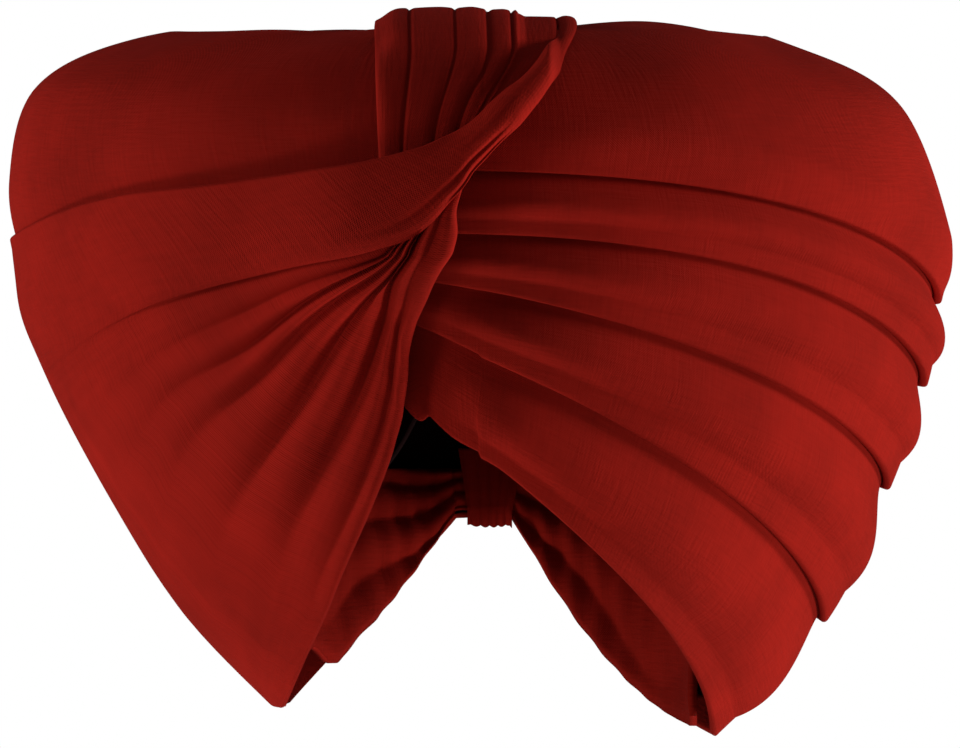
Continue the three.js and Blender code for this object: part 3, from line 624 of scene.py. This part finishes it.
def crown_pleats():
    front_rows, crown_rows, columns = 60, 90, 120
    across = np.linspace(0, 1, columns + 1)
    share = np.linspace(0, 1, front_rows + 1)[:, None]
    right = mix(PLEATS_FRONT_RIGHT, PLEATS_CROWN_RIGHT, smooth(share * PLEATS_WIDENING))
    left = mix(PLEATS_FRONT_LEFT, PLEATS_CROWN_LEFT, share)
    x = mix(left, right, across[None])
    level = mix(PLEATS_FRONT_LEVEL - PLEATS_SLANT * across[None], PLEATS_SHOULDER_LEVEL, share)
    azimuth = azimuth_at(x, level)
    on_crown = np.broadcast_to(x[-1], (crown_rows, columns + 1))
    start = wound_form(azimuth[-1], level[-1])[:, 1]
    end_level = np.full(columns + 1, UPPER_TOP)
    end = wound_form(180 - azimuth_at(x[-1], end_level), end_level - LAP * PLEATS_TUCKED_SHARE)[:, 1]
    back = (np.arange(1, crown_rows + 1) / crown_rows)[:, None]
    crown_azimuth, crown_level = crown_place(on_crown, mix(start, end, back))
    azimuth = np.concatenate([azimuth, crown_azimuth])
    level = np.concatenate([level, crown_level])
    x = np.concatenate([x, on_crown])
    whole = np.concatenate([share / 2, 0.5 + back / 2])
    puff = PLEAT_PUFF * np.sin(math.pi * whole) ** 2
    puff = puff * (1 - smooth((x - PUFF_RIGHT_FROM) / PUFF_RIGHT_OVER))
    rest = CROSSING_GAP - WRAP_STEP * onto_crown(azimuth, level)
    lift = rest + puff + fold_profile(PLEATS, across) * PLEAT_DEPTH
    left_slope = smooth(across / LEFT_SLOPE_OVER + LEFT_SLOPE_START)
    right_slope = 1 - RIGHT_PRESSED_SHARE * smooth((across - RIGHT_SLOPE_FROM) / RIGHT_SLOPE_OVER)
    slope = mix(1, left_slope * right_slope, smooth((whole - PRESSED_FROM) / PRESSED_OVER))
    inner_lift = mix(rest, lift, slope)
    outer_lift = mix(inner_lift + PRESSED_THICKNESS, lift + PLEAT_THICKNESS, slope)
    middle, half = (outer_lift + inner_lift) / 2, (outer_lift - inner_lift) / 2
    half = half * rounded_edges(across, PLEATS_WIDTH, PLEAT_THICKNESS)
    piece = cloth_piece("crown_pleat_strip", on_form(azimuth, level, middle - half),
                        on_form(azimuth, level, middle + half))
    add_red(piece, "crown_pleats")


crown_pleats()

# Front drape
# One length of the cloth, folded narrow where it comes over the crown beside the pleats. At the
# brow its folds fan out over the wearer's right side, and its end laps the turns at the back.
DRAPE_THICKNESS, FOLDED_THICKNESS = 2.8 * MM, 1.5 * MM
DRAPE_COLUMNS = ("in_neck", "near_turn", "near_level", "mid_turn", "mid_level", "fan_turn", "fan_level",
                 "far_turn", "far_level", "side_turn", "side_level", "end_turn", "end_level",
                 "neck_height", "fan_height", "side_height", "crest")
# One row for each line along the drape: five across the band, its tucked edge, then the creases
# of the fan and the free edge. Heights are in millimetres.
DRAPE_LINES = np.array([
    (0, -4.2, 4.42, -7.7, 4.59, -16, 4.83, -30.4, 4.98, -55.6, 4.73, -164, 4.5, 2.8, 4.2, 0.8, 0),
    (0.25, -3, 4.5, -6.4, 4.74, -14.4, 5.18, -29.2, 5.32, -54.4, 5.09, -163, 4.8, 4.8, 5, 1.8, 0),
    (0.5, -1.8, 4.6, -5, 4.96, -12.7, 5.47, -27.9, 5.62, -53.3, 5.41, -162, 5.1, 5.8, 5.8, 3, 0),
    (0.82, -0.8, 4.75, -3.4, 5.21, -10.6, 5.81, -26.2, 5.98, -52.1, 5.78, -160, 5.6, 4.9, 6.2, 3, 0),
    (1, -0.2, 4.87, -2.8, 5.33, -9.7, 6.01, -26, 6.14, -51.3, 5.93, -159, 5.9, 2.3, 4.4, 3, 0),
    (0.93, -0.8, 4.8, -3.8, 5.27, -10.8, 5.91, -27.3, 6.07, -51.4, 6, -158, 6.1, 1.3, 1.2, 3, 3.4),
    (0.86, -1.1, 4.73, -4.1, 5.25, -13, 6.23, -29.4, 6.48, -52, 6.37, -154, 6.8, 1.2, 0.7, 3, 4.4),
    (0.85, -1.2, 4.72, -4.2, 5.28, -14, 6.36, -33.5, 6.84, -53.9, 6.73, -149, 7.9, 1.2, 0.6, 3, 4.8),
    (0.84, -1.2, 4.72, -4.4, 5.31, -15, 6.62, -34.8, 7.18, -55.3, 7.19, -142, 9, 1.2, 0.6, 3, 5.2),
    (0.84, -1.2, 4.73, -4.4, 5.34, -14.1, 6.84, -31.1, 7.73, -55.9, 7.91, -124, 9, 1.2, 0.6, 3, 5.6),
    (0.85, -1.1, 4.75, -4.3, 5.37, -11.6, 6.63, -21.9, 8.09, -48.4, 8.41, -103, 9, 1.2, 0.4, 3, 4.8),
    (0.88, -1, 4.78, -3.9, 5.41, -7.7, 6.4, -19.9, 8.41, -47.9, 8.79, -94, 9, 1.5, 2.6, 3, 4.6),
    (0.93, -0.7, 4.83, -2.6, 5.47, -4.3, 6.37, -18.3, 8.6, -46.5, 9, -87, 9, 2.6, 3, 3, 3),
])
# Both margins of the neck in plan over the crown, from the back: upper x, lower x, y (mm)
NECK_ON_CROWN = np.array([(21, 27, 76), (22, 28, 52), (23, 29, 20), (23.5, 29.5, -14), (23.5, 29.5, -48),
                          (23, 29, -72)])
# Both margins of the neck down the front: upper azimuth and level, lower azimuth and level
NECK_ON_FRONT = np.array([(9.6, 2.74, 12.6, 2.6), (5.4, 3.45, 9.8, 3.2), (2.5, 3.8, 6.8, 3.84),
                          (0.3, 4.07, 4.5, 4.2), (-1.5, 4.25, 2.1, 4.49)])
# Stations run from the back of the neck, through the twist at the brow, to the end at the back
CROWN_END = len(NECK_ON_CROWN) - 1
TWIST = CROWN_END + len(NECK_ON_FRONT)
END = TWIST + 7
# Mesh rows along the drape: from a station, to a station, number
DRAPE_ROWS = ((0, CROWN_END, 49), (CROWN_END, TWIST, 59), (TWIST, TWIST + 5, 129), (TWIST + 5, END, 49))
LANES, LANE_WIDTH = 12, 10 * MM
# The stop between the side and the end lies this share of the way on
BEYOND_SHARE = 0.33
LOWEST_HEM = -145.5 * MM
# Spans where the drape lies over the pleats, in millimetres across and in levels
OVER_PLEATS_ACROSS, OVER_PLEATS_LEVELS = (-72, 38, 19.4, 5), (2.15, 0.5, 6.2, 1.4)
OVER_PLEATS_GAP = 1.8 * CROSSING_GAP
# Over the ridge at the brow places are averaged: degrees to each side, and weight
APEX_AVERAGE = ((-8, 1), (-4, 2), (0, 3), (4, 2), (8, 1))
APEX_CLEARANCE, APEX_FROM, APEX_OVER = 0.8 * MM, 6, 2
# Low roll of the neck over the crown, in millimetres, and the stations where it starts to stand up
CROWN_HEIGHT, CROWN_ROLL, BAND_LINES = 0.8, 1, 4
STANDS_FROM, STANDS_OVER = 5.3, 4
# Stations past the twist where the heights of the fan, those of the side and the wall's full
# thickness begin, and over how many
FAN_FROM, FAN_OVER, SIDE_FROM, SIDE_OVER, THICK_FROM, THICK_OVER = 0.3, 1.7, 4, 1.6, 2, 1.5
CRESTS_SPAN = (1.5, 1, 4, 1.4)
# Rolled creases of the band: line, width in lines, span past the twist
ROLLED_CREASES = ((2.9, 0.18, (-1.2, 1.5, 2.6, 0.8)), (3.55, 0.15, (-1.2, 1.5, 1.8, 0.6)))
ROLLED_DEPTH = 1


def drape_line(column):
    return DRAPE_LINES[:, DRAPE_COLUMNS.index(column)]


def drape_lift(azimuth, level):
    """How far the drape's underside stands off the form, higher where the pleats lie below it."""
    x = wound_form(azimuth, level)[..., 0] / MM
    over = within(x, OVER_PLEATS_ACROSS) * within(level, OVER_PLEATS_LEVELS)
    high = PLEAT_THICKNESS + PLEAT_DEPTH + OVER_PLEATS_GAP
    return mix(CROSSING_GAP, high, over) - WRAP_STEP * onto_crown(azimuth, level)


def drape_places(station, line):
    """Azimuth and level at each station along the drape and each line across it."""
    in_neck = drape_line("in_neck")
    paths = []
    for part, name in enumerate(("turn", "level")):
        front = [mix(row[part], row[part + 2], in_neck) for row in NECK_ON_FRONT]
        stops = [drape_line(f"{stop}_{name}") for stop in ("near", "mid", "fan", "far", "side", "end")]
        stops.insert(-1, mix(stops[-2], stops[-1], BEYOND_SHARE))
        paths.append(np.array(front + stops))
    on_crown = station <= CROWN_END
    upper, lower, y = through(NECK_ON_CROWN, station[on_crown]).T * MM
    crown_azimuth, crown_level = crown_place(mix(upper[:, None], lower[:, None], in_neck), y[:, None])
    upper, lower, y = NECK_ON_CROWN[-1] * MM
    last_azimuth, last_level = crown_place(mix(upper, lower, in_neck), y)
    rest = station[~on_crown] - CROWN_END
    azimuth = np.concatenate([crown_azimuth, through(np.vstack([last_azimuth, paths[0]]), rest)])
    level = np.concatenate([crown_level, through(np.vstack([last_level, paths[1]]), rest)])
    return through(azimuth.T, line).T, through(level.T, line).T


def over_apex(azimuth, level, offset):
    """Like on_form, but eased over the ridge of the turns at the brow."""
    places = [on_form(azimuth + turn, level, offset + APEX_CLEARANCE) for turn, weight in APEX_AVERAGE]
    return np.average(places, axis=0, weights=[weight for turn, weight in APEX_AVERAGE])


def drape_heights(station, line):
    """Height of the outer skin over the lowest cloth, in millimetres, and the wall's thickness."""
    beyond = station - TWIST
    at_neck, at_fan, at_side = (through(drape_line(f"{stop}_height"), line)
                                for stop in ("neck", "fan", "side"))
    height = mix(at_neck, at_fan, smooth((beyond - FAN_FROM) / FAN_OVER))
    height = mix(height, at_side, smooth((beyond - SIDE_FROM) / SIDE_OVER))
    on_crown = CROWN_HEIGHT + CROWN_ROLL * np.sin(math.pi * np.minimum(line / BAND_LINES, 1))
    height = mix(on_crown, height, smooth((station - STANDS_FROM) / STANDS_OVER))
    from_crease = np.abs(line - np.round(line)) * 2
    pocket = np.minimum(line.astype(int), len(DRAPE_LINES) - 2)
    crest = np.maximum(drape_line("crest")[pocket] - at_fan, 0) * np.sin(from_crease * math.pi / 2)
    rolled = sum(np.exp(-((line - at) / width) ** 2) * within(beyond, span)
                 for at, width, span in ROLLED_CREASES)
    thickness = mix(FOLDED_THICKNESS, DRAPE_THICKNESS, smooth((beyond - THICK_FROM) / THICK_OVER))
    return height + crest * within(beyond, CRESTS_SPAN) - ROLLED_DEPTH * rolled, thickness


def front_drape():
    station = np.concatenate([np.linspace(start, end, rows, endpoint=False)
                              for start, end, rows in DRAPE_ROWS] + [[END]])
    last_line = len(DRAPE_LINES) - 1
    line = np.linspace(0, last_line, last_line * LANES + 1)
    azimuth, level = drape_places(station, line)
    height, thickness = drape_heights(station[:, None], line)
    outer_lift = drape_lift(azimuth, level) + height * MM
    wall = np.minimum(height * MM, thickness)
    half = wall / 2 * rounded_edges(line / last_line, last_line * LANE_WIDTH, DRAPE_THICKNESS)
    level = np.minimum(level, RIM)
    eased = smooth((station - APEX_FROM) / APEX_OVER)[:, None, None]
    skins = []
    for offset in (outer_lift - wall / 2 + half, outer_lift - wall / 2 - half):
        skin = mix(on_form(azimuth, level, offset), over_apex(azimuth, level, offset), eased)
        skin[..., 2] = np.maximum(skin[..., 2], LOWEST_HEM)
        skins.append(skin)
    piece = cloth_piece("front_drape_cloth", *skins)
    add_red(piece, "front_drape")


front_drape()

# Nape turn
# The gathered first turn, which runs round inside the back of the rim and shows through the
# face opening. It is held between the head and the turns outside it.
NAPE_START, NAPE_END = 84, 264
NAPE_THICKNESS, NAPE_TOP = 2.4 * MM, 72 * MM
NAPE_SET_IN = INNER_THICKNESS + 1.35 * MM
# Shares of the height where the hem lies, and by which it is drawn up past an azimuth in degrees
NAPE_HEM, NAPE_DRAWN_UP, NAPE_DRAWN_FROM, NAPE_DRAWN_OVER = 0.995, 0.06, 236, 20
# Small gathers: depth, pitch in degrees, how far they lean, and where they have died out
NAPE_GATHER, GATHER_STEP, GATHER_LEAN, GATHERS_END, GATHERS_FADE = 1.2 * MM, 9, 3, 78, 60
# Long folds that leave the tuck: depth, number, and how they crowd, start and waver
NAPE_FOLD, NAPE_FOLDS = 2.2 * MM, 3.3
FOLDS_CROWD, FOLDS_START, FOLDS_WAVER, FOLDS_WAVER_PITCH = 0.8, 0.25, 0.3, 11
# In degrees from the tuck the folds rise, and then fade by a share; they end flat at the hem
FOLDS_RISE, FOLDS_FADE, FOLDS_FADE_FROM, FOLDS_FADE_OVER, FOLDS_HEM = 12, 0.7, 40, 40, 0.06


def inside_layer(azimuth, share, offset):
    """Places set in from the inner layer's outer face by an offset in metres."""
    normal = outward(inner_form, azimuth, np.minimum(share, 0.97), 0.02)
    return inner_form(azimuth, share) - normal * np.asarray(offset)[..., None]


def nape_turn():
    down, azimuth = np.meshgrid(edge_rows(50), np.linspace(NAPE_START, NAPE_END, 301), indexing="ij")
    rim_height = inner_form(azimuth, np.ones(azimuth.shape))[..., 2]
    top = np.arccos(1 + NAPE_TOP / rim_height) / (math.pi / 2)
    hem = NAPE_HEM - NAPE_DRAWN_UP * smooth((azimuth - NAPE_DRAWN_FROM) / NAPE_DRAWN_OVER)
    share = mix(top, hem, down)
    from_tuck = np.abs(azimuth - 180)
    close = np.clip((GATHERS_END - from_tuck) / GATHERS_FADE, 0, 1)
    wave = np.sin(azimuth * 2 * math.pi / GATHER_STEP + down * GATHER_LEAN)
    gather = NAPE_GATHER * close * (0.5 + 0.5 * wave)
    spread = smooth(from_tuck / FOLDS_RISE)
    spread = spread * (1 - FOLDS_FADE * smooth((from_tuck - FOLDS_FADE_FROM) / FOLDS_FADE_OVER))
    fold = FOLDS_START + down**FOLDS_CROWD * NAPE_FOLDS
    fold = fold + FOLDS_WAVER * np.sin(azimuth / FOLDS_WAVER_PITCH)
    folds = NAPE_FOLD * spread * np.abs(np.sin(math.pi * fold)) * smooth((1 - down) / FOLDS_HEM)
    set_in = np.full(share.shape, NAPE_SET_IN)
    piece = cloth_piece("nape_turn", inside_layer(azimuth, share, set_in),
                        inside_layer(azimuth, share, set_in + NAPE_THICKNESS + gather + folds))
    add_red(piece, "nape_wrap")


nape_turn()

# Nape tuck
# The pleated end of the cloth at the nape, drawn down over the hem and tucked up inside. It
# holds the turns together there.
TUCK_THICKNESS, TUCK_PLEAT, TUCK_CLEARANCE = 1.4 * MM, 1.0 * MM, 0.6 * MM
TUCK_HEM_HALF_WIDTH, TUCK_TOP_HALF_WIDTH, TUCK_CENTRE = 7.4 * MM, 10.4 * MM, 3.2 * MM
TUCK_PLEATS, TUCK_PLEATS_UNEVEN = 2.6, 0.3
# Levels above the rim where it starts outside, and shares of the height at its hem and top inside
TUCK_OUTSIDE_RISE, TUCK_INSIDE_HEM, TUCK_INSIDE_TOP = 0.9, 0.99, 0.845
# Share of its thickness that it has where it turns under, and its rows on each side and there
TUCK_TURN_SHARE, TUCK_ROWS, TUCK_TURN_ROWS = 0.7, 25, 7
# Where it turns under it clears the hem by this many clearances, and its sides hang less
TUCK_TURN_CLEARANCES, TUCK_SIDES_SHARE = 1.3, 0.5


def nape_tuck():
    inside_offset = NAPE_SET_IN + NAPE_THICKNESS + NAPE_GATHER + TUCK_CLEARANCE
    across = np.linspace(-1, 1, 101)
    pleat = TUCK_PLEAT * np.abs(np.sin((across * TUCK_PLEATS + TUCK_PLEATS_UNEVEN * across**2) * math.pi))

    def at_back(x):
        return 180 - azimuth_at(x, np.full(x.shape, float(RIM)))

    def outside(share, skin):
        x = TUCK_CENTRE + across * TUCK_HEM_HALF_WIDTH
        offset = turn_offset(at_back(x), np.full(x.shape, mix(0.1, 1, share))) + TUCK_CLEARANCE + skin
        place = on_form(at_back(x), np.full(x.shape, RIM - TUCK_OUTSIDE_RISE * (1 - share)), offset)
        place[:, 0] = x
        return place

    def inside(share, skin):
        x = TUCK_CENTRE + across * mix(TUCK_HEM_HALF_WIDTH, TUCK_TOP_HALF_WIDTH, share)
        height = np.full(x.shape, mix(TUCK_INSIDE_HEM, TUCK_INSIDE_TOP, share))
        place = inside_layer(at_back(x), height, inside_offset + skin)
        place[:, 0] = x
        return place

    def hem(share, skin):
        place = mix(outside(1, skin), inside(0, skin), share)
        lowest = np.minimum(outside(1, 0 * across)[:, 2], inside(0, 0 * across)[:, 2])
        hang = skin * (1 - TUCK_SIDES_SHARE * across**2)
        place[:, 2] = lowest - TUCK_CLEARANCE * TUCK_TURN_CLEARANCES - hang
        return place

    skins = []
    for skin in (0 * across, TUCK_THICKNESS + pleat):
        rows = [outside(share, skin * mix(1, TUCK_TURN_SHARE, share))
                for share in np.linspace(0, 1, TUCK_ROWS)]
        rows += [hem(share, skin * TUCK_TURN_SHARE) for share in np.linspace(0.2, 0.8, TUCK_TURN_ROWS)]
        rows += [inside(share, skin * mix(TUCK_TURN_SHARE, 1, smooth(share * 3)))
                 for share in np.linspace(0, 1, TUCK_ROWS)]
        skins.append(np.array(rows))
    piece = cloth_piece("nape_tuck_cloth", *skins)
    add_red(piece, "nape_tuck")


nape_tuck()
